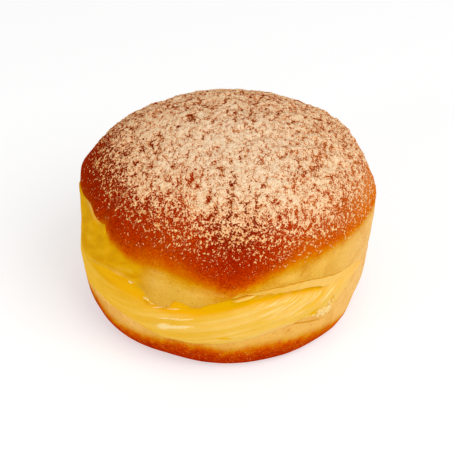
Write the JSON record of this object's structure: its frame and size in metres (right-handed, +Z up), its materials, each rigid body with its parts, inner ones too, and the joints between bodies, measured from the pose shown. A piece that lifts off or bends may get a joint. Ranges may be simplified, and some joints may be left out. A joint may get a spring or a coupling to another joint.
{
  "type": "custard filled doughnut",
  "caption": "Round fried yeast doughnut, cut open along its side and filled with custard, dusted with icing sugar.",
  "frame": {"origin": "on the surface that the doughnut stands on, under the middle of its bounding box", "axes": "+Z up through the crust's dome; -Y towards the widest part of the custard cut; +X to the right seen from the cut"},
  "size_m": [0.097, 0.0968, 0.062],
  "materials": {
    "dough": "fried yeast dough: a brown, faintly oily crust on the dome and under the foot, a pale golden ring round the side",
    "custard": "smooth egg custard with a soft shine, spread with a spatula",
    "icing_sugar": "dry, dull sugar powder in small flakes"
  },
  "bodies": {
    "root": {"dough": "dough", "custard": "custard"}
  },
  "joints": []
}
